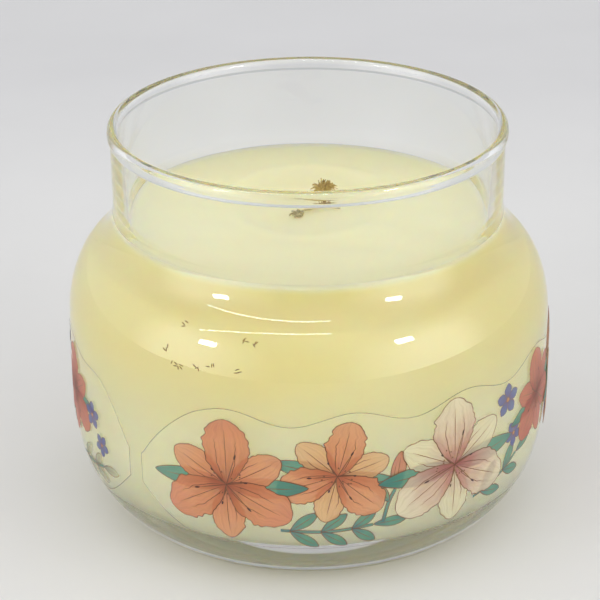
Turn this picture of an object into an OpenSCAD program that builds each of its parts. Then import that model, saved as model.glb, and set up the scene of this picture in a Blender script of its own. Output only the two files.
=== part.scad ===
// Wide-mouth glass candle jar with its poured wax, cored wick, wick tab and wrap-round clear decal.
// Millimetres, +Z up, origin at the middle of the foot on the resting plane, front of the decal at -Y.

/* [Jar outside] */
// Largest radius of the glass body
body_r = 52.5; // [51.5:0.1:54]
// Radius of the flat foot where the heel curve starts
foot_r = 36; // [34:0.5:38]
// Height of the heel curve
heel_h = 24.5; // [22:0.5:26]
// Height where the shoulder starts to turn in
shoulder_z = 44.5; // [43:0.5:46]
// Height of the full shoulder curve
shoulder_h = 18; // [17:0.5:19]
// How far the full shoulder curve runs in
shoulder_in = 10.3; // [10:0.1:10.5]
// Outside radius of the straight neck
neck_r = 41.85; // [41.6:0.05:42]
// Overall height to the top of the rounded lip
jar_h = 87.5; // [86:0.5:90]
// Outside radius over the lip
lip_r = 42.4; // [42.3:0.05:42.5]
// Thickness of the lip
lip_t = 2.35; // [2.3:0.05:2.6]
// Height of the lip
lip_h = 3.4; // [3:0.2:4]
// Depth of the recess under the foot
push_up = 0.8; // [0.4:0.1:1.2]
// Outside radius of the recess under the foot
push_up_r = 31; // [29:0.5:32]

/* [Jar inside] */
// Glass thickness in the middle of the floor
floor_t = 10; // [9:0.5:11]
// Glass thickness of the body wall
wall_t = 3.5; // [3.2:0.1:3.8]
// Glass thickness at the bottom of the neck
neck_t = 2.4; // [2.2:0.1:2.6]
// Glass thickness at the top of the neck, just under the lip
neck_top_t = 1.7; // [1.65:0.05:1.75]

/* [Wax] */
// Height of the wax surface above the resting plane
wax_level = 66.5; // [65.5:0.1:68]
// Radius of the shallow hardened melt pool round the wick
pool_r = 18; // [14:0.5:22]
// Depth of the hardened melt pool
pool_dip = 0.5; // [0.2:0.1:0.8]
// How far the wax climbs the glass at its edge
wax_climb = 0.5; // [0.2:0.1:0.8]

/* [Wick and tab] */
// Diameter of the cotton braid
wick_d = 2.4; // [2.2:0.1:2.6]
// Diameter of the stiffening core inside the braid
core_d = 0.7; // [0.5:0.1:0.9]
// Straight wick above the melt pool before it bends over
wick_stub = 1.6; // [1:0.2:2.4]
// Length of the burnt end, from the bend to the middle of the head
burnt_l = 5.2; // [4:0.2:6]
// Tilt of the burnt end from upright
wick_tilt = 50; // [30:5:60]
// Direction the burnt end leans, from +X towards +Y
wick_lean = 30; // [0:5:90]
// Diameter of the round charred head
head_d = 3.8; // [3.2:0.1:4.2]
// Diameter of the wick tab
tab_d = 20; // [16:1:24]
// Thickness of the wick tab sheet
tab_t = 0.4; // [0.3:0.1:0.6]
// Height of the crimped collar on the tab
collar_h = 6; // [4:0.5:8]
// Diameter of the adhesive pad under the tab
pad_d = 16; // [12:1:19]
// Thickness of the adhesive pad
pad_t = 0.9; // [0.6:0.1:1.2]

/* [Decal] */
// Film thickness
film_t = 0.1; // [0.08:0.01:0.15]
// Height of the lower edge of the film
film_low = 13; // [12:0.5:14]
// Middle height of the film's waved upper edge
film_high = 43.5; // [42:0.5:44]
// How far the upper edge waves up and down from there
film_swell = 1.5; // [0.5:0.5:2]
// Height at the middle of the film's two narrow ends
film_mid = 25; // [23:1:27]
// Angle between two crests of the upper edge
film_pitch = 27.5; // [22:0.5:36]
// Angle over which each end of the film narrows
film_ease = 16; // [12:1:20]

/* [Hidden] */
$fn = 72;
// Clearance left between touching pieces
gap = 0.03;
// Thin adhesive layer between the glass and the film
glue_t = 0.08;
// Straight steps in each quarter curve of the glass
arc_steps = 12;
// Angle on the shoulder curve where it hands over to the neck fillet
shoulder_end = 65;
// Inside shapes follow the outside with these glass thicknesses
in_r = body_r - wall_t;
in_neck_r = neck_r - neck_t;
in_heel_r = 16;
in_heel_h = 16;
in_shoulder_in = 8.5;
in_shoulder_h = shoulder_h - 2.5;
// Middle of the lip and the radius of the mouth just under it
lip_z = jar_h - lip_h / 2;
lip_mid = lip_r - lip_t / 2;
mouth_r = neck_r - neck_top_t;
// Heights of the stacked pieces on the jar floor
pad_z = floor_t + gap;
tab_z = pad_z + pad_t + gap;
pool_z = wax_level - pool_dip;
// Slope width of the melt pool edge and of the wax climbing the glass
pool_edge = 2;
climb_w = 1.6;
// Collar bore and wall
collar_bore = wick_d + 2 * gap;
collar_d = wick_d + 1.2;
// The wick starts just above the tab sheet
wick_z = tab_z + tab_t + gap;
wick_top_z = pool_z + wick_stub;
// How much thicker the wick is at its bend
knuckle = 0.4;
// The core is burnt back to just above the wax
core_top_z = pool_z + 0.4;

// Angles of the film's two ends and of its first crest, from the front towards +X
film_start = -41;
film_end = 315;
film_crest = -18;
// Share of the full height that is left at the very ends
film_tip = 0.2;
film_step = 2.5;
film_rows = 9;

// Points along an upright oval arc
function arc(cx, cz, rx, rz, a0, a1, steps = arc_steps) =
    [for (i = [0:steps]) let (a = a0 + (a1 - a0) * i / steps) [cx + rx * cos(a), cz + rz * sin(a)]];

// Shoulder curve from the body wall, then a fillet tangent to it and to the straight neck
function shoulder(r, run_in, h, end_a, neck) =
    let (
        px = r - run_in + run_in * cos(end_a),
        pz = shoulder_z + h * sin(end_a),
        slope = atan2(h * cos(end_a), run_in * sin(end_a)),
        turn = 90 - slope,
        fillet = (px - neck) / (1 - cos(turn)),
        fz = pz + fillet * sin(turn)
    )
    concat(
        arc(r - run_in, shoulder_z, run_in, h, 0, end_a),
        [for (i = [1:arc_steps]) let (a = 180 + turn * (1 - i / arc_steps))
            [neck + fillet + fillet * cos(a), fz + fillet * sin(a)]]
    );

function outside_points() = concat(
    arc(foot_r, heel_h, body_r - foot_r, heel_h, -90, 0),
    shoulder(body_r, shoulder_in, shoulder_h, shoulder_end, neck_r)
);

// Hollow outline drawn in by g on every side
function inside_points(g) = concat(
    [[0, floor_t + g]],
    arc(in_r - in_heel_r, floor_t + in_heel_h, in_heel_r - g, in_heel_h - g, -90, 0),
    shoulder(in_r - g, in_shoulder_in, in_shoulder_h, shoulder_end, in_neck_r - g)
);

// Outside radius of the glass at a height, for pieces laid on it
function glass_r(z) =
    z < heel_h ? foot_r + (body_r - foot_r) * sqrt(1 - pow(1 - z / heel_h, 2)) :
    z < shoulder_z ? body_r :
    body_r - shoulder_in * (1 - sqrt(1 - pow((z - shoulder_z) / shoulder_h, 2)));

// Share of the film's height at an angle: full in between and narrowed towards both ends
function film_share(a) =
    let (from_end = min(a - film_start, film_end - a, film_ease))
    film_tip + (1 - film_tip) * sin(90 * from_end / film_ease);

function film_bottom(a) = film_mid - (film_mid - film_low) * film_share(a);

function film_top(a) =
    let (crest = film_high + film_swell * cos(360 * (a - film_crest) / film_pitch))
    film_mid + (crest - film_mid) * film_share(a);

module jar_outline() {
    lip_out = acos((neck_r - lip_mid) / (lip_t / 2));
    lip_in = acos((lip_mid - mouth_r) / (lip_t / 2));
    inside = inside_points(0);
    polygon(concat(
        [[0, push_up], [push_up_r - push_up, push_up], [push_up_r, 0]],
        outside_points(),
        arc(lip_mid, lip_z, lip_t / 2, lip_h / 2, -lip_out, 180 + lip_in, 2 * arc_steps),
        [for (i = [len(inside) - 1:-1:0]) inside[i]]
    ));
}

module wax_outline() {
    wax_r = in_neck_r - gap;
    intersection() {
        polygon(concat(inside_points(gap), [[in_neck_r - gap, jar_h], [0, jar_h]]));
        polygon([
            [0, 0],
            [body_r, 0],
            [body_r, wax_level + wax_climb],
            [wax_r, wax_level + wax_climb],
            [wax_r - climb_w, wax_level],
            [pool_r, wax_level],
            [pool_r - pool_edge, pool_z],
            [0, pool_z]
        ]);
    }
}

// Burnt end of the wick, from its bend to the round charred head
module burnt_end() {
    rotate([0, wick_tilt, wick_lean]) {
        sphere(d = wick_d + knuckle);
        cylinder(h = burnt_l, d = wick_d);
        translate([0, 0, burnt_l])
            sphere(d = head_d);
    }
}

module jar() {
    color([0.86, 0.93, 0.92, 0.35])
        rotate_extrude()
            jar_outline();
}

module wax_fill() {
    color([0.92, 0.89, 0.62])
        difference() {
            rotate_extrude()
                wax_outline();
            translate([0, 0, pad_z - gap - 1])
                cylinder(h = pad_t + 1 + 2 * gap, d = pad_d + 2 * gap);
            translate([0, 0, tab_z - gap])
                cylinder(h = tab_t + 2 * gap, d = tab_d + 2 * gap);
            translate([0, 0, tab_z])
                cylinder(h = collar_h + gap, d = collar_d + 2 * gap);
            translate([0, 0, tab_z])
                cylinder(h = jar_h, d = wick_d + 2 * gap);
        }
}

module wick_braid() {
    color([0.82, 0.74, 0.56])
        difference() {
            union() {
                translate([0, 0, wick_z])
                    cylinder(h = wick_top_z - wick_z, d = wick_d);
                translate([0, 0, wick_top_z])
                    burnt_end();
            }
            translate([0, 0, wick_z - 1])
                cylinder(h = core_top_z + gap - wick_z + 1, d = core_d + 2 * gap);
        }
}

module wick_core() {
    color([0.62, 0.62, 0.64])
        translate([0, 0, wick_z])
            cylinder(h = core_top_z - wick_z, d = core_d);
}

module wick_sustainer() {
    color([0.74, 0.75, 0.77])
        difference() {
            union() {
                translate([0, 0, tab_z])
                    cylinder(h = tab_t, d = tab_d);
                translate([0, 0, tab_z])
                    cylinder(h = collar_h, d = collar_d);
            }
            translate([0, 0, tab_z + tab_t])
                cylinder(h = collar_h, d = collar_bore);
        }
}

module sustainer_adhesive() {
    color([0.95, 0.95, 0.92])
        translate([0, 0, pad_z])
            cylinder(h = pad_t, d = pad_d);
}

// Film wrapped on the glass: a thin shell between a waved upper edge and a plain lower edge
module decal_film() {
    cols = floor((film_end - film_start) / film_step);
    rows = film_rows;
    per_side = (cols + 1) * (rows + 1);
    points = [
        for (side = [0:1], c = [0:cols], r = [0:rows])
            let (
                a = film_start + (film_end - film_start) * c / cols,
                z = film_bottom(a) + (film_top(a) - film_bottom(a)) * r / rows,
                d = glass_r(z) + glue_t + side * film_t
            )
            [d * sin(a), -d * cos(a), z]
    ];
    function at(side, c, r) = side * per_side + c * (rows + 1) + r;
    faces = concat(
        [for (c = [0:cols - 1], r = [0:rows - 1]) [at(1, c, r), at(1, c, r + 1), at(1, c + 1, r + 1)]],
        [for (c = [0:cols - 1], r = [0:rows - 1]) [at(1, c, r), at(1, c + 1, r + 1), at(1, c + 1, r)]],
        [for (c = [0:cols - 1], r = [0:rows - 1]) [at(0, c, r), at(0, c + 1, r + 1), at(0, c, r + 1)]],
        [for (c = [0:cols - 1], r = [0:rows - 1]) [at(0, c, r), at(0, c + 1, r), at(0, c + 1, r + 1)]],
        [for (c = [0:cols - 1]) [at(0, c, rows), at(0, c + 1, rows), at(1, c + 1, rows), at(1, c, rows)]],
        [for (c = [0:cols - 1]) [at(0, c, 0), at(1, c, 0), at(1, c + 1, 0), at(0, c + 1, 0)]],
        [for (r = [0:rows - 1]) [at(0, 0, r), at(0, 0, r + 1), at(1, 0, r + 1), at(1, 0, r)]],
        [for (r = [0:rows - 1]) [at(0, cols, r), at(1, cols, r), at(1, cols, r + 1), at(0, cols, r + 1)]]
    );
    color([0.9, 0.6, 0.5, 0.6])
        polyhedron(points, faces);
}

jar();
wax_fill();
wick_braid();
wick_core();
wick_sustainer();
sustainer_adhesive();
decal_film();
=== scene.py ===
import math
import random

import bpy
import numpy as np
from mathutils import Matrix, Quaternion, Vector, noise


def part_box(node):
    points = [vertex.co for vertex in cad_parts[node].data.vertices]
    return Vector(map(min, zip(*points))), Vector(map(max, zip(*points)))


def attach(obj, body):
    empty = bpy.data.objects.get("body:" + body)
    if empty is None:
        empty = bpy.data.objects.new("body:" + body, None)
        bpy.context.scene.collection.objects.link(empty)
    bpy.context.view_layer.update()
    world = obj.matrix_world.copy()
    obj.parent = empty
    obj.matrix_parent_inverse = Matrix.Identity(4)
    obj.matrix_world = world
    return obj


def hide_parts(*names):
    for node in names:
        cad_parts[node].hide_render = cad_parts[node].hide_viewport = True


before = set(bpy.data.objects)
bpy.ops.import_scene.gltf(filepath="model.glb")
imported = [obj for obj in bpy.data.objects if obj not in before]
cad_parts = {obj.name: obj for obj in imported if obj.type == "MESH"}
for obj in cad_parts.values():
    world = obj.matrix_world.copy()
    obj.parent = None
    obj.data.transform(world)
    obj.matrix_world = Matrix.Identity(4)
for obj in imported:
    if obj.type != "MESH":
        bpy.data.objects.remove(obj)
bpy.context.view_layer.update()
JAR_LO, JAR_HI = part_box("jar")
WAX_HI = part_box("wax_fill")[1]
WICK_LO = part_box("wick_braid")[0]

# Lengths are in millimetres where a name or a call says so, and are turned into metres by MM.
MM = 0.001

# The jar's outline, as in the CAD source
BODY_R = (JAR_HI.x - JAR_LO.x) / 2 / MM
JAR_H = JAR_HI.z / MM
FOOT_R = 36.0
HEEL_H = 24.5
SHOULDER_Z = 44.5
SHOULDER_H = 18.0
SHOULDER_IN = 10.3
SHOULDER_END = 65.0
NECK_R = 41.85
LIP_R = 42.4
LIP_T = 2.35
LIP_H = 3.4
PUSH_UP = 0.8
PUSH_UP_R = 31.0
FLOOR_T = 10.0
WALL_T = 3.5
NECK_T = 2.4
NECK_TOP_T = 1.7
IN_HEEL_R = 16.0
IN_HEEL_H = 16.0
IN_SHOULDER_IN = 8.5
IN_SHOULDER_H = SHOULDER_H - 2.5
WAX_CLIMB = 0.5
WAX_LEVEL = WAX_HI.z / MM - WAX_CLIMB
FILM_LIFT = 0.08
FILM_T = 0.1

random.seed(7)


# ---------------------------------------------------------------- outlines

def arc(cx, cz, rx, rz, a0, a1, steps=36):
    """Points along an upright oval arc, in mm."""
    turn = [math.radians(a0 + (a1 - a0) * i / steps) for i in range(steps + 1)]
    return [(cx + rx * math.cos(a), cz + rz * math.sin(a)) for a in turn]


def shoulder(r, run_in, height, neck, steps=36):
    """Shoulder curve from the body wall, then the fillet into the straight neck."""
    end = math.radians(SHOULDER_END)
    px = r - run_in + run_in * math.cos(end)
    pz = SHOULDER_Z + height * math.sin(end)
    turn = math.pi / 2 - math.atan2(height * math.cos(end), run_in * math.sin(end))
    fillet = (px - neck) / (1 - math.cos(turn))
    fz = pz + fillet * math.sin(turn)
    curve = arc(r - run_in, SHOULDER_Z, run_in, height, 0, SHOULDER_END, steps)
    for i in range(1, steps + 1):
        a = math.pi + turn * (1 - i / steps)
        curve.append((neck + fillet + fillet * math.cos(a), fz + fillet * math.sin(a)))
    return curve


def outside():
    """The outside of the glass from the foot to the neck."""
    return arc(FOOT_R, HEEL_H, BODY_R - FOOT_R, HEEL_H, -90, 0) + shoulder(
        BODY_R, SHOULDER_IN, SHOULDER_H, NECK_R
    )


def inside(grow=0.0):
    """The hollow's outline from the middle of the floor to the top of the shoulder fillet."""
    r = BODY_R - WALL_T
    heel = arc(
        r - IN_HEEL_R, FLOOR_T + IN_HEEL_H, IN_HEEL_R + grow, IN_HEEL_H + grow, -90, 0
    )
    return [(0.0, FLOOR_T - grow)] + heel + shoulder(
        r + grow, IN_SHOULDER_IN, IN_SHOULDER_H, NECK_R - NECK_T + grow
    )


def inner_r(z):
    """Inside radius of the glass at a height above the shoulder, in mm."""
    wall = [p for p in inside() if p[1] > SHOULDER_Z]
    return float(np.interp(z, [p[1] for p in wall], [p[0] for p in wall]))


def jar_outline():
    """The whole section of the glass, from the axis under the foot round to the axis inside."""
    half = LIP_T / 2
    mid = LIP_R - half
    out = math.degrees(math.acos((NECK_R - mid) / half))
    back = math.degrees(math.acos((mid - NECK_R + NECK_TOP_T) / half))
    foot = [(0.0, PUSH_UP), (PUSH_UP_R - 2 * PUSH_UP, PUSH_UP)]
    foot += arc(PUSH_UP_R - PUSH_UP, PUSH_UP / 2, PUSH_UP / 2, PUSH_UP / 2, 90, 0, 6)
    foot += [(PUSH_UP_R, 0.0)]
    lip = arc(mid, JAR_H - LIP_H / 2, half, LIP_H / 2, -out, 180 + back, 48)
    return foot + outside() + lip + inside()[::-1]


def glass_r(z):
    """Outside radius of the glass at a height, in mm."""
    if z < HEEL_H:
        return FOOT_R + (BODY_R - FOOT_R) * math.sqrt(max(0, 1 - (1 - z / HEEL_H) ** 2))
    if z < SHOULDER_Z:
        return BODY_R
    rise = (z - SHOULDER_Z) / SHOULDER_H
    return BODY_R - SHOULDER_IN * (1 - math.sqrt(max(0, 1 - rise * rise)))


# ---------------------------------------------------------------- meshes

def make(name, verts, faces, material, smooth=True, uvs=None):
    """A mesh object from points in metres."""
    mesh = bpy.data.meshes.new(name)
    mesh.from_pydata(verts, [], faces)
    mesh.materials.append(material)
    if uvs:
        layer = mesh.uv_layers.new(name="UVMap")
        for loop in mesh.loops:
            layer.data[loop.index].uv = uvs[loop.vertex_index]
    mesh.validate()
    if smooth:
        mesh.shade_smooth()
    ob = bpy.data.objects.new(name, mesh)
    bpy.context.scene.collection.objects.link(ob)
    return ob


def lets_light_in(ob):
    """Thin ink and film do not shade the wax behind the glass."""
    ob.visible_transmission = False
    return ob


def piece(ob, slot, *nodes):
    """Puts a new piece on the jar's one body and hides the CAD nodes it stands for."""
    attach(ob, "root")
    if nodes:
        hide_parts(*nodes)
    return ob


def split_long(outline, longest=1.2, near=0.15):
    """Adds points on long straight runs, close to their ends too, so smooth shading stays true."""
    out = [outline[0]]
    for (ax, az), (bx, bz) in zip(outline, outline[1:]):
        size = math.hypot(bx - ax, bz - az)
        if size > longest:
            inner = int(size / longest)
            marks = [near / size] + [k / inner for k in range(1, inner)] + [1 - near / size]
            out += [(ax + (bx - ax) * t, az + (bz - az) * t) for t in marks]
        out.append((bx, bz))
    return out


def lathe(name, outline, material, segs=192):
    """Turns an outline of (radius, height) in mm about Z. It starts and ends on the axis."""
    outline = split_long(outline)
    verts = [(0, 0, outline[0][1] * MM)]
    faces = []
    body = outline[1:-1]
    for r, z in body:
        for s in range(segs):
            a = 2 * math.pi * s / segs
            verts.append((r * MM * math.cos(a), r * MM * math.sin(a), z * MM))
    verts.append((0, 0, outline[-1][1] * MM))
    last = len(verts) - 1
    for s in range(segs):
        t = (s + 1) % segs
        faces.append((0, 1 + t, 1 + s))
        top = 1 + (len(body) - 1) * segs
        faces.append((last, top + s, top + t))
        for k in range(len(body) - 1):
            a = 1 + k * segs
            b = a + segs
            faces.append((a + s, a + t, b + t, b + s))
    return make(name, verts, faces, material)


# ---------------------------------------------------------------- material helpers

def new_material(name):
    """A new node material with its nodes, links and shader."""
    mat = bpy.data.materials.new(name)
    mat.use_nodes = True
    tree = mat.node_tree
    return mat, tree.nodes, tree.links, tree.nodes["Principled BSDF"]


def add(nodes, kind, **values):
    """A node with its sockets set by name."""
    node = nodes.new(kind)
    for key, value in values.items():
        node.inputs[key.replace("_", " ")].default_value = value
    return node


def noise_tex(nodes, links, scale, detail=3.0, coord="Object"):
    """A noise texture on the object's own coordinates."""
    at = nodes.new("ShaderNodeTexCoord")
    tex = add(nodes, "ShaderNodeTexNoise", Scale=scale, Detail=detail)
    links.new(at.outputs[coord], tex.inputs["Vector"])
    return tex


def ramp(nodes, links, source, stops):
    """A colour ramp over a socket, with stops as (position, colour)."""
    node = nodes.new("ShaderNodeValToRGB")
    band = node.color_ramp
    while len(band.elements) < len(stops):
        band.elements.new(0.5)
    for el, (pos, col) in zip(band.elements, stops):
        el.position = pos
        el.color = (*col, 1) if len(col) == 3 else col
    links.new(source, node.inputs["Fac"])
    return node


def blend(nodes, links, kind, a, b, factor=None):
    """Two colours blended; the factor is a socket, or full strength."""
    node = nodes.new("ShaderNodeMix")
    node.data_type = "RGBA"
    node.blend_type = kind
    for key, value in (("A", a), ("B", b), ("Factor", factor or 1.0)):
        if isinstance(value, (float, tuple)):
            node.inputs[key].default_value = value
        else:
            links.new(value, node.inputs[key])
    return node.outputs["Result"]


def maths(nodes, links, kind, a, b=0.0):
    """A sum on two values, each a socket or a float."""
    node = nodes.new("ShaderNodeMath")
    node.operation = kind
    for socket, value in zip(node.inputs, (a, b)):
        if isinstance(value, float):
            socket.default_value = value
        else:
            links.new(value, socket)
    return node.outputs["Value"]


def grey(stops):
    """Ramp stops in grey."""
    return [(pos, (value,) * 3) for pos, value in stops]


def bump(nodes, links, shader, height, strength, distance):
    """A bump from a height socket into the shader."""
    node = add(nodes, "ShaderNodeBump", Strength=strength, Distance=distance)
    links.new(height, node.inputs["Height"])
    links.new(node.outputs["Normal"], shader.inputs["Normal"])
    return node


def srgb(r, g, b):
    """A colour given as 0 to 255 screen values, in linear light."""
    def lin(v):
        """One channel in linear light."""
        v /= 255
        return v / 12.92 if v <= 0.04045 else ((v + 0.055) / 1.055) ** 2.4
    return lin(r), lin(g), lin(b)


# ---------------------------------------------------------------- materials

def glass_material():
    """Clear glass, a little smudged and wavy, that darkens with depth."""
    mat, nodes, links, shader = new_material("glass")
    shader.inputs["Base Color"].default_value = (0.98, 0.99, 0.985, 1)
    shader.inputs["Transmission Weight"].default_value = 1
    shader.inputs["IOR"].default_value = 1.5
    smudge = noise_tex(nodes, links, 60, 4)
    rough = ramp(nodes, links, smudge.outputs["Fac"], [(0.45, (0, 0, 0)), (0.8, (0.05,) * 3)])
    links.new(rough.outputs["Color"], shader.inputs["Roughness"])
    wave = noise_tex(nodes, links, 35, 1)
    bump(nodes, links, shader, wave.outputs["Fac"], 0.12, 0.001)
    body = nodes.new("ShaderNodeVolumeAbsorption")
    body.inputs["Color"].default_value = (0.66, 0.665, 0.67, 1)
    body.inputs["Density"].default_value = 12
    out = nodes["Material Output"]
    links.new(body.outputs["Volume"], out.inputs["Volume"])
    return mat


def wax_material():
    """Pale yellow wax with painted light: paler towards the foot for light bounced up from the floor, and
    paler on its top for light falling on it, so it looks deepest in the shoulder.
    """
    mat, nodes, links, shader = new_material("wax")
    cloud = noise_tex(nodes, links, 22, 3)
    tone = ramp(
        nodes,
        links,
        cloud.outputs["Fac"],
        [(0.3, srgb(242, 230, 160)), (0.55, srgb(246, 236, 175)), (0.8, srgb(248, 240, 189))],
    )
    at = nodes.new("ShaderNodeTexCoord")
    split = nodes.new("ShaderNodeSeparateXYZ")
    links.new(at.outputs["Object"], split.inputs["Vector"])
    height = maths(nodes, links, "MULTIPLY", split.outputs["Z"], 10.0)
    # Painted light: the wax is blended to a paler tone low down and on its top surface, in place of bounced
    # light near the foot and light on the top.
    painted_light_share = [(0.12, 1.0), (0.34, 0.75), (0.5, 0.0), (0.65, 0.0), (0.66, 0.6)]
    low = ramp(nodes, links, height, grey(painted_light_share))
    pale = (*srgb(254, 246, 208), 1)
    mixed = blend(nodes, links, "MIX", tone.outputs["Color"], pale, low.outputs["Color"])
    links.new(mixed, shader.inputs["Base Color"])
    shader.inputs["Subsurface Weight"].default_value = 0.9
    shader.inputs["Subsurface Radius"].default_value = (1.0, 0.8, 0.4)
    shader.inputs["Subsurface Scale"].default_value = 0.01
    grain = noise_tex(nodes, links, 400, 4)
    rough = ramp(nodes, links, grain.outputs["Fac"], [(0.3, (0.38,) * 3), (0.7, (0.55,) * 3)])
    links.new(rough.outputs["Color"], shader.inputs["Roughness"])
    shader.inputs["IOR"].default_value = 1.44
    return mat


def mottled(name, dark, light, scale, rough=(0.4, 0.6), metal=0.0, bump_strength=0.2):
    """A plain surface with its own grain: two tones, uneven gloss and a fine bump."""
    mat, nodes, links, shader = new_material(name)
    tex = noise_tex(nodes, links, scale, 5)
    tone = ramp(nodes, links, tex.outputs["Fac"], [(0.3, dark), (0.7, light)])
    links.new(tone.outputs["Color"], shader.inputs["Base Color"])
    gloss = ramp(
        nodes, links, tex.outputs["Fac"], [(0.3, (rough[0],) * 3), (0.7, (rough[1],) * 3)]
    )
    links.new(gloss.outputs["Color"], shader.inputs["Roughness"])
    shader.inputs["Metallic"].default_value = metal
    fine = noise_tex(nodes, links, scale * 4, 3)
    bump(nodes, links, shader, fine.outputs["Fac"], bump_strength, 0.0003)
    return mat


def film_material():
    """Clear film stuck to the glass: only a faint uneven haze shows."""
    mat, nodes, links, shader = new_material("film")
    haze = noise_tex(nodes, links, 120, 4)
    tone = ramp(nodes, links, haze.outputs["Fac"], [(0.3, (0.9, 0.88, 0.78)), (0.7, (0.98, 0.97, 0.9))])
    links.new(tone.outputs["Color"], shader.inputs["Base Color"])
    cover = ramp(nodes, links, haze.outputs["Fac"], [(0.3, (0.01,) * 3), (0.7, (0.035,) * 3)])
    links.new(cover.outputs["Color"], shader.inputs["Alpha"])
    shader.inputs["Roughness"].default_value = 0.3
    return mat


def ink_material(name, tones, cover):
    """Thin printed ink shaded from the throat (v = 0) to the tip (v = 1), with watercolour mottling."""
    mat, nodes, links, shader = new_material(name)
    uv = nodes.new("ShaderNodeTexCoord")
    split = nodes.new("ShaderNodeSeparateXYZ")
    links.new(uv.outputs["UV"], split.inputs["Vector"])
    wash = noise_tex(nodes, links, 260, 4)
    shift = nodes.new("ShaderNodeMath")
    shift.operation = "MULTIPLY_ADD"
    shift.inputs[1].default_value = 0.35
    links.new(wash.outputs["Fac"], shift.inputs[0])
    links.new(split.outputs["Y"], shift.inputs[2])
    centred = nodes.new("ShaderNodeMath")
    centred.operation = "SUBTRACT"
    centred.inputs[1].default_value = 0.175
    links.new(shift.outputs["Value"], centred.inputs[0])
    tone = ramp(nodes, links, centred.outputs["Value"], tones)
    streak = add(nodes, "ShaderNodeTexNoise", Scale=1.0, Detail=2.0)
    stretch = nodes.new("ShaderNodeMapping")
    stretch.inputs["Scale"].default_value = (16, 1.5, 1)
    links.new(uv.outputs["UV"], stretch.inputs["Vector"])
    links.new(stretch.outputs["Vector"], streak.inputs["Vector"])
    veins = ramp(nodes, links, streak.outputs["Fac"], [(0.35, (0.86,) * 3), (0.6, (1.0,) * 3)])
    mixed = blend(nodes, links, "MULTIPLY", tone.outputs["Color"], veins.outputs["Color"])
    links.new(mixed, shader.inputs["Base Color"])
    shader.inputs["Roughness"].default_value = 0.42
    shader.inputs["Alpha"].default_value = cover
    bump(nodes, links, shader, wash.outputs["Fac"], 0.05, 0.0002)
    return mat


def stops(*colours):
    """Ramp stops from (position, red, green, blue) on the screen scale."""
    return [(c[0], srgb(*c[1:])) for c in colours]


INKS = {
    "coral": stops((0.0, 150, 76, 50), (0.3, 192, 112, 70), (0.65, 203, 125, 84), (1.0, 196, 114, 82)),
    "orange": stops((0.0, 166, 84, 54), (0.3, 196, 116, 74), (0.65, 206, 134, 90), (1.0, 204, 140, 100)),
    "pale": stops((0.0, 190, 122, 76), (0.4, 206, 148, 96), (1.0, 212, 166, 116)),
    "pink": stops(
        (0.0, 158, 80, 76), (0.2, 186, 122, 110), (0.45, 204, 166, 146), (0.7, 216, 194, 168),
        (1.0, 222, 210, 180)
    ),
    "cream": stops((0.0, 184, 122, 108), (0.3, 206, 176, 152), (0.6, 222, 208, 172), (1.0, 224, 214, 176)),
    "red": stops((0.0, 138, 60, 48), (0.4, 172, 84, 66), (1.0, 182, 94, 74)),
    "teal": stops((0.0, 62, 112, 122), (0.5, 70, 138, 116), (1.0, 62, 120, 110)),
    "stem": stops((0.0, 58, 108, 116), (0.5, 84, 138, 124), (1.0, 66, 124, 114)),
    "bud": stops((0.0, 66, 128, 122), (0.25, 98, 142, 116), (0.42, 190, 122, 92), (1.0, 188, 106, 84)),
    "greenbud": stops((0.0, 66, 128, 118), (0.4, 124, 154, 108), (1.0, 196, 176, 116)),
    "greybud": stops((0.0, 98, 110, 96), (0.5, 152, 160, 136), (1.0, 182, 186, 156)),
    "blue": stops((0.0, 104, 66, 108), (0.4, 74, 78, 136), (1.0, 82, 94, 152)),
    "line": stops((0.0, 104, 62, 40), (0.5, 122, 76, 48), (1.0, 134, 88, 58)),
    "anther": stops((0.0, 84, 48, 38), (1.0, 64, 44, 40)),
}
INK_COVER = {"pink": 0.66, "cream": 0.55, "pale": 0.74, "greybud": 0.6}
MOST_COVER = 0.84
LINE_COVER = 0.6


# ---------------------------------------------------------------- jar, wax, wick

def build_jar():
    """The glass, turned from its section."""
    return piece(lathe("glass_jar", jar_outline(), glass_material()), "glass", "jar")


# Hardened melt pool: its middle, radius and depth in mm
POOL_AT = (0.0, 6.0)
POOL_R = 15.5
POOL_DIP = 0.5
WAX_R = inner_r(WAX_LEVEL)
# The wax touches the glass, so it sinks this far into the jar's inside wall.
WAX_SINK = 0.02


def wax_top(x, y):
    """Height of the wax surface in mm: shallow hardened pool, its low rim and slow undulations."""
    r = math.hypot(x, y)
    pool = math.hypot(x - POOL_AT[0], (y - POOL_AT[1]) * 0.85)
    dip = POOL_DIP / (1 + math.exp((pool - POOL_R) / 0.9))
    rim = 0.22 * math.exp(-(((pool - POOL_R - 2.6) / 1.5) ** 2))
    swell = noise.noise(Vector((x * 0.075, y * 0.13, 3.1))) * 0.3
    climb = WAX_CLIMB * math.exp(-(WAX_R - r) / 0.7)
    return WAX_LEVEL - dip + rim + swell * min(1, max(0, (WAX_R - r) / 4)) + climb - 0.1


def build_wax(material):
    """The block of wax: the jar's inside wall, then rings across the poured surface."""
    top = WAX_LEVEL + WAX_CLIMB
    wall = inner_r(top) + WAX_SINK
    outline = [p for p in inside(WAX_SINK) if p[1] < WAX_LEVEL - WAX_CLIMB] + [(wall, top)]
    rings = [wall * (1 - (k / 72) ** 0.8) for k in range(1, 72)]
    outline += [(r, WAX_LEVEL) for r in rings] + [(0.0, WAX_LEVEL)]
    ob = lathe("poured_wax", outline, material, 192)
    top_z = (WAX_LEVEL - 0.001) * MM
    for v in ob.data.vertices:
        if v.co.z >= top_z:
            v.co.z = wax_top(v.co.x / MM, v.co.y / MM) * MM
    return piece(ob, "wax", "wax_fill")


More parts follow.
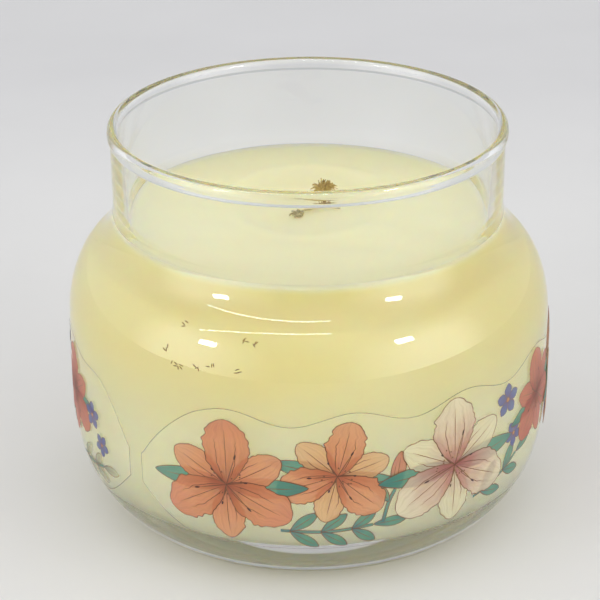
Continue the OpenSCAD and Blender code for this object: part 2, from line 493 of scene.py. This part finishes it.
def tube(path, radii, sides=10):
    """Points and faces of a round tube along a path, closed at both ends."""
    verts, faces = [], []
    n = len(path)
    for i, p in enumerate(path):
        ahead = path[min(i + 1, n - 1)] - path[max(i - 1, 0)]
        ahead.normalize()
        side = ahead.orthogonal() if i == 0 else side - ahead * side.dot(ahead)
        side.normalize()
        up = ahead.cross(side)
        for k in range(sides):
            a = 2 * math.pi * k / sides
            verts.append(p + (side * math.cos(a) + up * math.sin(a)) * radii[i])
    for i in range(n - 1):
        for k in range(sides):
            a, b = i * sides + k, i * sides + (k + 1) % sides
            faces.append((a, b, b + sides, a + sides))
    faces.append(tuple(range(sides))[::-1])
    faces.append(tuple((n - 1) * sides + k for k in range(sides)))
    return verts, faces


def joined(parts):
    """One list of points and faces out of several."""
    verts, faces = [], []
    for vs, fs in parts:
        base = len(verts)
        verts += vs
        faces += [tuple(base + i for i in f) for f in fs]
    return verts, faces


# Straight wick above the melt pool, and the height where it bends over
WICK_STUB = 1.6
WICK_BEND_Z = WAX_LEVEL - POOL_DIP + WICK_STUB
WICK_TILT = 50.0
WICK_LEAN = 30.0
BURNT_L = 5.2
# Length of the soft bend on either side of the bend's point
BEND_SOFT = 1.4
HEAD_FIBRES = 85
# Heights in metres between which the wick turns from waxy to charred
CHAR_LOW, CHAR_HIGH = 0.066, 0.074


def wick_centre(t, z0):
    """The middle of the wick, t from 0 at the tab to 1 at the tip, in mm."""
    straight = WICK_BEND_Z - z0
    along = t * (straight + BURNT_L)
    lean, tilt = math.radians(WICK_LEAN), math.radians(WICK_TILT)
    out = Vector((math.cos(lean) * math.sin(tilt), math.sin(lean) * math.sin(tilt), math.cos(tilt)))
    soft = BEND_SOFT
    over = along - straight
    if over < -soft:
        return Vector((0, 0, z0 + along))
    if over > soft:
        return Vector((0, 0, WICK_BEND_Z)) + out * over
    k = (over + soft) / (2 * soft)
    start = Vector((0, 0, WICK_BEND_Z - soft))
    end = Vector((0, 0, WICK_BEND_Z)) + out * soft
    return start.lerp(Vector((0, 0, WICK_BEND_Z)), k).lerp(Vector((0, 0, WICK_BEND_Z)).lerp(end, k), k)


def wick_material():
    """Cotton, pale inside the wax, waxy gold above it and charred brown at the tip."""
    mat, nodes, links, shader = new_material("cotton")
    at = nodes.new("ShaderNodeTexCoord")
    split = nodes.new("ShaderNodeSeparateXYZ")
    links.new(at.outputs["Object"], split.inputs["Vector"])
    span = nodes.new("ShaderNodeMapRange")
    span.inputs["From Min"].default_value = CHAR_LOW
    span.inputs["From Max"].default_value = CHAR_HIGH
    links.new(split.outputs["Z"], span.inputs["Value"])
    fibre = noise_tex(nodes, links, 1500, 4)
    burn = nodes.new("ShaderNodeMath")
    burn.operation = "MULTIPLY_ADD"
    burn.inputs[1].default_value = 0.9
    burn.use_clamp = True
    links.new(fibre.outputs["Fac"], burn.inputs[0])
    links.new(maths(nodes, links, "SUBTRACT", span.outputs["Result"], 0.45), burn.inputs[2])
    tone = ramp(
        nodes,
        links,
        burn.outputs["Value"],
        [
            (0.1, srgb(228, 214, 158)), (0.4, srgb(212, 192, 122)), (0.66, srgb(188, 162, 92)),
            (0.95, srgb(128, 100, 50)),
        ],
    )
    links.new(tone.outputs["Color"], shader.inputs["Base Color"])
    shader.inputs["Roughness"].default_value = 0.8
    bump(nodes, links, shader, fibre.outputs["Fac"], 0.5, 0.0003)
    return mat


def build_wick(material):
    """Strands twisted round each other, then a crumbled, charred head."""
    z0 = WICK_LO.z / MM
    parts = []
    steps, strands, turns = 260, 4, 26
    for k in range(strands):
        path, radii = [], []
        for i in range(steps + 1):
            t = i / steps
            c = wick_centre(t, z0)
            a = 2 * math.pi * (turns * t + k / strands)
            ahead = (wick_centre(min(1, t + 0.01), z0) - wick_centre(max(0, t - 0.01), z0)).normalized()
            side = ahead.cross(Vector((0.3, 1, 0.1))).normalized()
            up = ahead.cross(side)
            path.append((c + (side * math.cos(a) + up * math.sin(a)) * 0.55) * MM)
            radii.append(0.6 * MM)
        parts.append(tube(path, radii, 8))
    parts.append(charred_head(wick_centre(1, z0)))
    verts, faces = joined(parts)
    return piece(make("wick_cotton", verts, faces, material), "cotton", "wick_braid")


def curl(start, heading, size, thick, lift=0.6):
    """One short curling fibre as points and faces; lengths in mm."""
    side = heading.orthogonal().normalized()
    side.rotate(Quaternion(heading, random.uniform(0, 2 * math.pi)))
    bend = random.uniform(0.3, 1.0) * size
    path = []
    for t in np.linspace(0, 1, 7):
        at = start + heading * size * t + side * bend * t * t * (1.4 - t)
        path.append((at + Vector((0, 0, lift * t * (1 - t)))) * MM)
    return tube(path, [thick * MM * (1 - 0.5 * t) for t in np.linspace(0, 1, 7)], 6)


def charred_head(at):
    """Ragged head of burnt cotton: a small lumpy core under a mop of curling fibres."""
    rings, sides = 14, 18
    verts, faces = [], []
    for i in range(rings + 1):
        lat = math.pi * i / rings
        for k in range(sides):
            lon = 2 * math.pi * k / sides
            n = Vector((math.sin(lat) * math.cos(lon), math.sin(lat) * math.sin(lon), math.cos(lat)))
            lump = 1 + 0.45 * noise.noise(n * 2.3 + Vector((4, 1, 2))) + 0.3 * noise.noise(n * 6)
            size = Vector((1.5, 1.25, 0.75)) * lump
            verts.append((at + Vector((n.x * size.x, n.y * size.y, n.z * size.z))) * MM)
    for i in range(rings):
        for k in range(sides):
            a, b = i * sides + k, i * sides + (k + 1) % sides
            faces.append((a, a + sides, b + sides, b))
    parts = [(verts, faces)]
    for _ in range(HEAD_FIBRES):
        n = Vector([random.gauss(0, 1) for _ in range(3)]).normalized()
        n.z = abs(n.z) * 0.8 - 0.25
        root = at + Vector((n.x * 1.7, n.y * 1.3, n.z * 0.8))
        heading = (n + Vector([random.gauss(0, 0.6) for _ in range(3)])).normalized()
        parts.append(curl(root, heading, random.uniform(0.6, 1.5), random.uniform(0.1, 0.19)))
    return joined(parts)


LOOSE_CURLS = 14


def build_loose_fibres(material):
    """A loose thread and a small tuft that have come off the wick and lie on the wax."""
    def on_wax(x, y, lift):
        """A point lifted above the wax surface."""
        return Vector((x, y, wax_top(x, y) + lift)) * MM
    parts = []
    thread = [
        on_wax(-2 + 9 * t, -1.9 + 1.1 * t, 0.25 + 0.5 * math.sin(math.pi * t))
        for t in np.linspace(0, 1, 16)
    ]
    parts.append(tube(thread, [0.13 * MM] * 16, 6))
    for k in range(LOOSE_CURLS):
        a = random.uniform(0, 2 * math.pi)
        size = random.uniform(0.8, 1.9)
        x, y = -2.1 + random.uniform(-0.5, 0.5), -2.9 + random.uniform(-1.2, 1.2)
        path = []
        for t in np.linspace(0, 1, 8):
            turn, reach = a + 1.6 * t, size * t
            lift = 0.15 + 0.3 * t * (k % 3)
            path.append(on_wax(x + reach * math.cos(turn), y + reach * math.sin(turn), lift))
        parts.append(tube(path, [0.15 * MM] * 8, 6))
    verts, faces = joined(parts)
    return piece(make("wick_loose_fibres", verts, faces, material), "cotton")


# ---------------------------------------------------------------- film and print

DEG_MM = BODY_R * math.pi / 180
# Width of the line that the film's cut edge shows
FILM_LINE = 0.15
# The film's gap is at this angle, so its own angles run up from here
FILM_GAP = -43


def on_glass(x, z, lift):
    """Point over the glass: x is mm round the body from the front, z the height in mm."""
    a = x / BODY_R
    h = 0.05
    slope = (glass_r(z + h) - glass_r(z - h)) / (2 * h)
    steep = math.sqrt(1 + slope * slope)
    r = glass_r(z) + lift / steep
    zz = z - lift * slope / steep
    return (r * math.sin(a) * MM, -r * math.cos(a) * MM, zz * MM)


def film_edges():
    """The film's lower and upper edges as (angle, low, high), read from the CAD film."""
    columns = {}
    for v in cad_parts["decal_film"].data.vertices:
        a = math.degrees(math.atan2(v.co.x, -v.co.y))
        a = a + 360 if a < FILM_GAP else a
        key = round(a * 4)
        lo, hi = columns.get(key, (1e9, -1e9))
        columns[key] = (min(lo, v.co.z / MM), max(hi, v.co.z / MM))
    keys = sorted(columns)
    return [(k / 4, *columns[k]) for k in keys]


def fine_edges():
    """The CAD film's edges with their corners eased, every half degree."""
    coarse = film_edges()
    a = np.array([c[0] for c in coarse])
    fine = np.arange(a[0], a[-1] + 0.01, 0.5)
    low = np.interp(fine, a, [c[1] for c in coarse])
    high = np.interp(fine, a, [c[2] for c in coarse])
    ease = np.array([1, 3, 5, 6, 5, 3, 1], float)
    ease /= ease.sum()
    smooth = np.convolve(np.pad(high, 3, mode="edge"), ease, "valid")
    return fine, low, smooth


def build_film(material, line_material):
    """The clear film as a thin shell, and the line of its cut edge."""
    angles, low, high = fine_edges()
    rows = 14
    verts, faces = [], []
    for lift in (FILM_LIFT, FILM_LIFT + FILM_T):
        for a, lo, hi in zip(angles, low, high):
            for r in range(rows + 1):
                verts.append(on_glass(a * DEG_MM, lo + (hi - lo) * r / rows, lift))
    cols = len(angles)
    side = cols * (rows + 1)
    for c in range(cols - 1):
        for r in range(rows):
            a = c * (rows + 1) + r
            b = a + rows + 1
            faces.append((a, a + 1, b + 1, b))
            faces.append((side + a, side + b, side + b + 1, side + a + 1))
        for r in (0, rows):
            a = c * (rows + 1) + r
            b = a + rows + 1
            faces.append((a, b, side + b, side + a) if r == 0 else (a, side + a, side + b, b))
    for c in (0, cols - 1):
        for r in range(rows):
            a = c * (rows + 1) + r
            wall = (a, side + a, side + a + 1, a + 1)
            faces.append(wall if c == 0 else wall[::-1])
    film = piece(lets_light_in(make("film_label", verts, faces, material)), "film", "decal_film")
    loop = [(a * DEG_MM, z) for a, z in zip(angles, high)]
    loop += [(angles[-1] * DEG_MM, z) for z in np.linspace(high[-1], low[-1], 8)[1:]]
    loop += [(a * DEG_MM, z) for a, z in zip(angles[::-1], low[::-1])][1:]
    loop += [(angles[0] * DEG_MM, z) for z in np.linspace(low[0], high[0], 8)[1:]]
    verts, faces, uvs = stroke(loop, [FILM_LINE / 2] * len(loop), FILM_LIFT + FILM_T + 0.01)
    edge = piece(lets_light_in(make("film_edge", verts, faces, line_material, uvs=uvs)), "film")
    return film, edge


PRINT_LIFT = FILM_LIFT + FILM_T + 0.01
LAYER_LIFT = 0.0015


def stroke(points, half, lift):
    """A flat drawn line of changing half width on the glass, as points, faces and UVs."""
    verts, faces, uvs = [], [], []
    n = len(points)
    for i, (x, z) in enumerate(points):
        ax, az = points[max(i - 1, 0)]
        bx, bz = points[min(i + 1, n - 1)]
        d = math.hypot(bx - ax, bz - az) or 1
        nx, nz = -(bz - az) / d, (bx - ax) / d
        for s in (-1, 1):
            verts.append(on_glass(x + nx * half[i] * s, z + nz * half[i] * s, lift))
            uvs.append((0.5 + 0.5 * s, i / (n - 1)))
    for i in range(n - 1):
        faces.append((2 * i, 2 * i + 2, 2 * i + 3, 2 * i + 1))
    return verts, faces, uvs


def ragged(t, seed):
    """Uneven frill of a petal's edge, stronger towards its tip."""
    frill = noise.noise(Vector((t * 5, seed, 0))) + 0.8 * noise.noise(Vector((t * 14, seed, 5)))
    return 2.6 * frill * min(1, 1.6 * t)


class Print:
    """Collects printed shapes by ink, each layer a hair above the last."""

    def __init__(self):
        self.inks = {}
        self.layer = 0

    def put(self, ink, verts, faces, uvs):
        """Adds a shape to its ink."""
        v, f, u = self.inks.setdefault(ink, ([], [], []))
        base = len(v)
        v += verts
        f += [tuple(base + i for i in face) for face in faces]
        u += uvs

    def lift(self):
        """The height of the next layer above the glass."""
        self.layer += 1
        return PRINT_LIFT + self.layer * LAYER_LIFT

    def line(self, points, width=0.26, ink="line", ends=0.35):
        """A drawn line that thins towards its ends."""
        n = len(points)
        half = [width / 2 * min(1, ends + 4 * min(i, n - 1 - i) / n) for i in range(n)]
        self.put(ink, *stroke(points, half, self.lift()))

    def blade(self, ink, x, z, angle, length, width, peak=1.2, full=0.65, bend=0.0,
              ruffle=0.0, veins=(0.0,), grow=0.0, outline=0.2):
        """A petal, leaf or bud from its root at x, z: direction in degrees, sizes in mm."""
        n = round(min(56, max(8, 9 * length)))
        m = 8 if length > 3 else 2
        a = math.radians(angle)
        seed = random.uniform(0, 10)
        mid, left, right = [], [], []
        for i in range(n + 1):
            t = i / n
            along = length * t
            off = bend * length * t * t
            px = x + math.cos(a) * along - math.sin(a) * off
            pz = z + math.sin(a) * along + math.cos(a) * off
            w = width * math.sin(math.pi * min(1, (grow + (1 - grow) * t)) ** peak) ** full if t < 1 else 0
            wl = w * (1 + ruffle * ragged(t, seed))
            wr = w * (1 + ruffle * ragged(t, seed + 40))
            da = a + math.atan(2 * bend * t)
            nx, nz = -math.sin(da), math.cos(da)
            mid.append((px, pz))
            left.append((px + nx * wl, pz + nz * wl))
            right.append((px - nx * wr, pz - nz * wr))
        lift = self.lift()
        verts, faces, uvs = [], [], []
        for i in range(n + 1):
            for k in range(m + 1):
                s = k / m
                px = left[i][0] + (right[i][0] - left[i][0]) * s
                pz = left[i][1] + (right[i][1] - left[i][1]) * s
                verts.append(on_glass(px, pz, lift))
                uvs.append((s, i / n))
        for i in range(n):
            for k in range(m):
                p = i * (m + 1) + k
                faces.append((p, p + 1, p + m + 2, p + m + 1))
        self.put(ink, verts, faces, uvs)
        if outline:
            self.line(left + right[::-1][1:], outline, ends=1.0)
        for v in veins:
            path = []
            for i in range(5, int(n * (0.86 - 0.3 * abs(v)))):
                sx = mid[i][0] + (left[i][0] - mid[i][0]) * v
                sz = mid[i][1] + (left[i][1] - mid[i][1]) * v
                path.append((sx, sz))
            self.line(path, 0.16, ends=0.2)

    def curve(self, ink, points, width, outline=True):
        """A stem through control points."""
        path = smooth_path(points, 28)
        half = [width / 2] * len(path)
        lift = self.lift()
        self.put(ink, *stroke(path, half, lift))
        if outline:
            for s in (-1, 1):
                self.line(offset_path(path, s * width / 2), 0.2)

    def stamens(self, x, z, angle, length, count, spread, ink="anther"):
        """Thin threads from the throat, each with its dark tip."""
        for k in range(count):
            a = math.radians(angle + spread * (k / (count - 1) - 0.5))
            size = length * (0.8 + 0.2 * math.cos(3 * k))
            bend = 0.12 * (k / (count - 1) - 0.5)
            path = []
            for i in range(13):
                t = i / 12
                path.append((
                    x + math.cos(a) * size * t - math.sin(a) * bend * size * t * t,
                    z + math.sin(a) * size * t + math.cos(a) * bend * size * t * t,
                ))
            self.line(path, 0.2)
            tip = path[-1]
            turn = math.degrees(a)
            self.blade(ink, tip[0], tip[1], turn, size * 0.22, 0.2, 1.0, 0.7, veins=(), outline=0)

    def spots(self, x, z, count, reach):
        """Small freckles scattered round a flower's throat."""
        for _ in range(count):
            a = random.uniform(0, 2 * math.pi)
            d = reach * random.uniform(0.4, 1)
            self.blade("line", x + d * math.cos(a), z + d * math.sin(a), math.degrees(a), 0.5, 0.16, 1, 0.6,
                       veins=(), outline=0)

    def build(self, materials):
        """One mesh for each ink."""
        made = []
        for ink, (v, f, u) in self.inks.items():
            ob = make("print_" + ink, v, f, materials[ink], uvs=u)
            made.append(piece(lets_light_in(ob), "film"))
        return made


def smooth_path(points, steps):
    """A smooth path through a few control points."""
    p = [Vector((x, z)) for x, z in points]
    p = [2 * p[0] - p[1]] + p + [2 * p[-1] - p[-2]]
    out = []
    spans = len(p) - 3
    for i in range(spans):
        for k in range(steps // spans + 1):
            t = k / (steps // spans + 1)
            a, b, c, d = p[i:i + 4]
            q = 2 * b + (c - a) * t
            q += (2 * a - 5 * b + 4 * c - d) * t * t
            q += (3 * b - a - 3 * c + d) * t ** 3
            out.append((q.x / 2, q.y / 2))
    out.append((p[-2].x, p[-2].y))
    return out


def offset_path(path, d):
    """A path moved sideways by d."""
    out = []
    for i, (x, z) in enumerate(path):
        ax, az = path[max(i - 1, 0)]
        bx, bz = path[min(i + 1, len(path) - 1)]
        size = math.hypot(bx - ax, bz - az) or 1
        out.append((x - (bz - az) / size * d, z + (bx - ax) / size * d))
    return out


def lily(p, x, z, size, turn, inks):
    """A plain open lily: two leaves, then three narrow petals, then three broad ones in front."""
    behind, front = inks
    for side in (90, -90):
        p.blade("teal", x, z, turn + side, 1.12 * size, 0.15 * size, 0.9, 0.7, 0.03)
    for k in range(3):
        p.blade(behind, x, z, turn + 60 + 120 * k, 0.88 * size, 0.24 * size, 1.3, 0.6, 0.03, 0.05,
                (0.0, 0.5))
    for k in range(3):
        veins = (0.0, 0.45, -0.45)
        p.blade(front, x, z, turn + 120 * k, size, 0.33 * size, 1.3, 0.55, 0.03, 0.07, veins)
    p.spots(x, z, 14, 0.28 * size)
    p.stamens(x, z, turn + 15, 0.42 * size, 6, 300)


def floret(p, x, z, size, turn):
    """A small blue flower of five even petals with a pale middle."""
    for k in range(5):
        p.blade("blue", x, z, turn + 72 * k, size, 0.33 * size, 1.3, 0.8, veins=(), outline=0.12)
    p.blade("pale", x - 0.14 * size, z, 0, 0.28 * size, 0.14 * size, 1.0, 0.5, veins=(), outline=0.1)


def sprig(p, start, end, pairs, leaf, ink="teal"):
    """A slim stem with leaves in pairs and one at its tip."""
    (x0, z0), (x1, z1) = start, end
    slope = math.degrees(math.atan2(z1 - z0, x1 - x0))
    p.curve("stem", [start, ((x0 + x1) / 2, (z0 + z1) / 2 - 0.6), end], 0.7)
    p.blade(ink, x1, z1, slope, leaf, 0.17 * leaf, 1.2, 0.7)
    for k in range(pairs):
        t = (k + 0.3) / pairs
        for side in (38, -38):
            x, z = x0 + (x1 - x0) * t, z0 + (z1 - z0) * t - 2.4 * t * (1 - t)
            p.blade(ink, x, z, slope + side, leaf * (1 - 0.2 * t), 0.17 * leaf, 1.2, 0.7, -0.01 * side / 38)


def buds(p, x, z):
    """Two closed buds on one upright stalk."""
    p.curve("stem", [(x - 2.4, z - 7.5), (x - 1.4, z - 3), (x, z)], 0.7)
    p.blade("bud", x, z, 80, 8.6, 1.6, 1.0, 0.6, 0.02, veins=(0.0, 0.5))
    p.blade("greenbud", x - 1.3, z - 2.6, 120, 5.6, 1.0, 1.0, 0.6, veins=(0.0,))


def garland(p, x, whole):
    """One repeat of the pattern; x is where its front is, in mm round the jar."""
    p.layer = 0
    sprig(p, (x - 6, 18.0), (x + 13, 18.6), 3, 7.4)
    sprig(p, (x + 37, 18.4), (x + 51, 23.4), 2, 7.6)
    buds(p, x + 17.4, 26.4)
    floret(p, x + 46.8, 37.6, 3.8, 90)
    floret(p, x + 49.6, 28.6, 3.2, 50)
    if whole:
        lily(p, x + 61, 33, 11.4, 100, ("red", "red"))
        floret(p, x + 72.4, 25.6, 3.2, 70)
    lily(p, x + 5.5, 31, 12.4, 75, ("pale", "orange"))
    lily(p, x + 31, 28.6, 15.4, 90, ("cream", "pink"))
    lily(p, x - 16.8, 28, 14.8, 90, ("orange", "coral"))


def left_end(p):
    """What shows at the far end of the film, left of its gap."""
    p.layer = 0
    sprig(p, (-64, 18), (-52, 19.6), 2, 6.4, "greybud")
    lily(p, -67, 31.5, 11.0, 90, ("red", "red"))
    floret(p, -55.4, 30.8, 3.2, 90)
    floret(p, -51.4, 25.2, 2.7, 60)


# Angles where the garland starts again
REPEATS = (0, 110, 220)


def build_print():
    """All the printed shapes, one piece for each ink."""
    materials = {
        k: ink_material("ink_" + k, tones, INK_COVER.get(k, MOST_COVER)) for k, tones in INKS.items()
    }
    p = Print()
    for turn in REPEATS[::-1]:
        garland(p, turn * DEG_MM, turn < REPEATS[-1])
    left_end(p)
    return p.build(materials)


# Dry flecks: how many, and the angles and heights in mm between which they lie
FLECKS = 9
FLECK_ANGLES = (-36, -10)
FLECK_HEIGHTS = (51, 60)


def build_specks(material):
    """Dry brown flecks scattered by chance on the front left of the shoulder."""
    scatter = random.Random(4)
    parts = []
    for _ in range(FLECKS):
        a = scatter.uniform(*FLECK_ANGLES)
        z = scatter.uniform(*FLECK_HEIGHTS)
        for _ in range(3):
            x = a * DEG_MM + random.uniform(-0.7, 0.7)
            y = z + random.uniform(-0.5, 0.5)
            turn = random.uniform(0, math.pi)
            path = []
            for t in np.linspace(-1, 1, 6):
                across, along = 0.55 * t * math.cos(turn), 0.4 * t * math.sin(turn)
                path.append(Vector(on_glass(x + across, y + along, 0.05 + 0.04 * t * t)))
            parts.append(tube(path, [r * MM for r in (0.04, 0.09, 0.12, 0.11, 0.08, 0.03)], 6))
    verts, faces = joined(parts)
    return piece(make("dry_flecks", verts, faces, material), "cotton")


# ---------------------------------------------------------------- stage

def floor_material():
    """Pale matt floor, faintly mottled, with painted light: lighter close to the jar to lift the shade
    round its foot, and a little darker further from the jar.
    """
    mat, nodes, links, shader = new_material("floor")
    tex = noise_tex(nodes, links, 14, 6)
    cloud = ramp(nodes, links, tex.outputs["Fac"], grey([(0.3, 0.96), (0.7, 1.0)]))
    at = nodes.new("ShaderNodeTexCoord")
    reach = nodes.new("ShaderNodeVectorMath")
    reach.operation = "LENGTH"
    links.new(at.outputs["Object"], reach.inputs[0])
    # Painted light: the floor is lighter near the jar than further out, filling in the shade round its
    # foot.
    painted_light_falloff = [(0.05, srgb(233, 233, 231)), (0.3, srgb(210, 210, 211))]
    tone = ramp(nodes, links, reach.outputs["Value"], painted_light_falloff)
    mixed = blend(nodes, links, "MULTIPLY", tone.outputs["Color"], cloud.outputs["Color"])
    links.new(mixed, shader.inputs["Base Color"])
    shader.inputs["Roughness"].default_value = 0.75
    bump(nodes, links, shader, tex.outputs["Fac"], 0.05, 0.001)
    return mat


def build_floor():
    """A wide round floor."""
    verts, faces = [(0, 0, -0.0001)], []
    rings, segs = 24, 96
    for i in range(1, rings + 1):
        r = 3.0 * (i / rings) ** 1.6
        for s in range(segs):
            a = 2 * math.pi * s / segs
            verts.append((r * math.cos(a), r * math.sin(a), -0.0001))
    for s in range(segs):
        faces.append((0, 1 + s, 1 + (s + 1) % segs))
    for i in range(rings - 1):
        for s in range(segs):
            a, b = 1 + i * segs + s, 1 + i * segs + (s + 1) % segs
            faces.append((a, a + segs, b + segs, b))
    ob = make("floor", verts, faces, floor_material())
    return ob


def build_world():
    """Soft room: even and pale, dim straight ahead, with broad bright windows either side of that."""
    world = bpy.data.worlds.new("studio")
    bpy.context.scene.world = world
    world.use_nodes = True
    nodes, links = world.node_tree.nodes, world.node_tree.links
    at = nodes.new("ShaderNodeTexCoord")
    split = nodes.new("ShaderNodeSeparateXYZ")
    links.new(at.outputs["Generated"], split.inputs["Vector"])
    x, y, z = (split.outputs[k] for k in "XYZ")
    ahead = maths(nodes, links, "MULTIPLY", y, -1.0)
    front = ramp(nodes, links, ahead, grey([(0.0, 0.15), (0.3, 1.0)]))
    aside = ramp(nodes, links, maths(nodes, links, "ABSOLUTE", x), grey([(0.27, 0.0), (0.78, 1.0)]))
    low = ramp(nodes, links, z, grey([(0.45, 1.0), (0.75, 0.0)]))
    window = blend(nodes, links, "MULTIPLY", front.outputs["Color"], low.outputs["Color"])
    window = blend(nodes, links, "MULTIPLY", window, aside.outputs["Color"])
    walls = ramp(nodes, links, z, [(0.4, (0.5, 0.505, 0.52)), (0.85, (0.9, 0.9, 0.91))])
    shade = ramp(nodes, links, ahead, grey([(0.55, 1.0), (0.9, 0.65)]))
    walls = blend(nodes, links, "MULTIPLY", walls.outputs["Color"], shade.outputs["Color"])
    room = blend(nodes, links, "MIX", walls, (3.45, 3.43, 3.4, 1), window)
    links.new(room, nodes["Background"].inputs["Color"])
    nodes["Background"].inputs["Strength"].default_value = 1.0


def area_light(name, at, look, size, power):
    """A lamp that shows only as a reflection; the room itself lights the jar and the floor."""
    data = bpy.data.lights.new(name, "AREA")
    data.shape = "RECTANGLE"
    data.size, data.size_y = size
    data.energy = power
    ob = bpy.data.objects.new(name, data)
    bpy.context.scene.collection.objects.link(ob)
    ob.location = at
    ob.rotation_mode = "QUATERNION"
    ob.rotation_quaternion = (Vector(look) - Vector(at)).to_track_quat("-Z", "Y")
    ob.visible_transmission = False
    ob.visible_diffuse = False
    return ob


def towards(azimuth, elevation, distance):
    """A point seen from the jar in that direction. Azimuth 0 is the front, 90 the right."""
    a, e = math.radians(azimuth), math.radians(elevation)
    return Vector((math.sin(a) * math.cos(e), -math.cos(a) * math.cos(e), math.sin(e))) * distance


# Lamps: distance and sizes in metres, power in watts
LAMP_DISTANCE = 0.9
LAMP_SIZE = (0.125, 0.09)
LAMP_POWER = 1.35
STRIP_AT = (-0.42, -0.54, 1.0)
STRIP_SIZE = (1.15, 0.03)
STRIP_POWER = 1.8


def build_lights():
    """Two lamps and an overhead strip, for the highlights on the glass."""
    middle = Vector((0, 0, JAR_HI.z * 0.6))
    for name, az, el in (("lamp_left", -49, 26), ("lamp_right", 48, 30)):
        area_light(name, middle + towards(az, el, LAMP_DISTANCE), middle, LAMP_SIZE, LAMP_POWER)
    strip_at = Vector(STRIP_AT)
    area_light("strip_overhead", strip_at, strip_at + Vector((0, 0.5, -1)), STRIP_SIZE, STRIP_POWER)


# Camera: distance in metres, angles in degrees, lens and sensor in mm, then where it aims
VIEW_DISTANCE = 0.42
VIEW_ELEVATION = 25.35
VIEW_LENS = 114.16
VIEW_SENSOR = 36
VIEW_ROLL = -0.47
AIM_X = -0.0019
AIM_SHARE = 0.514


def build_camera():
    """The camera, aimed near the middle of the jar."""
    data = bpy.data.cameras.new("camera")
    data.sensor_width = VIEW_SENSOR
    data.lens = VIEW_LENS
    data.clip_start = 0.01
    ob = bpy.data.objects.new("camera", data)
    bpy.context.scene.collection.objects.link(ob)
    e = math.radians(VIEW_ELEVATION)
    height = JAR_HI.z * AIM_SHARE
    ob.location = (0, -VIEW_DISTANCE * math.cos(e), height + VIEW_DISTANCE * math.sin(e))
    aim = Vector((AIM_X, 0, height))
    ob.rotation_mode = "QUATERNION"
    straight = (aim - ob.location).to_track_quat("-Z", "Y")
    ob.rotation_quaternion = straight @ Quaternion((0, 0, 1), math.radians(VIEW_ROLL))
    bpy.context.scene.camera = ob
    return ob


def finish_cad_nodes():
    """CAD nodes that stay as they are get their own materials."""
    steel = mottled("tinplate", srgb(150, 150, 152), srgb(196, 197, 200), 300, (0.25, 0.42), 1.0)
    core = mottled("core", srgb(120, 120, 124), srgb(160, 160, 165), 800, (0.35, 0.5), 1.0)
    foam = mottled("adhesive", srgb(226, 226, 216), srgb(242, 242, 236), 500, (0.6, 0.8), 0.0, 0.4)
    for node, mat in (("wick_sustainer", steel), ("wick_core", core), ("sustainer_adhesive", foam)):
        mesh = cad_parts[node].data
        mesh.materials.clear()
        mesh.materials.append(mat)


def set_light_paths(cycles):
    """Light runs far inside the glass wall before it leaves, so no kind of bounce stops early."""
    cycles.max_bounces = 32
    cycles.diffuse_bounces = 8
    cycles.glossy_bounces = 32
    cycles.transmission_bounces = 32
    cycles.transparent_max_bounces = 32


def main():
    """Builds the whole scene."""
    scene = bpy.context.scene
    scene.view_settings.view_transform = "Standard"
    set_light_paths(scene.cycles)
    build_camera()
    build_world()
    build_lights()
    build_floor()
    build_jar()
    build_wax(wax_material())
    cotton = wick_material()
    build_wick(cotton)
    build_loose_fibres(mottled("loose_cotton", srgb(156, 142, 94), srgb(194, 180, 126), 900, (0.6, 0.8)))
    build_film(film_material(), ink_material("film_edge_ink", INKS["line"], LINE_COVER))
    build_print()
    build_specks(mottled("fleck", srgb(112, 84, 40), srgb(160, 124, 64), 900, (0.6, 0.8)))
    finish_cad_nodes()


main()
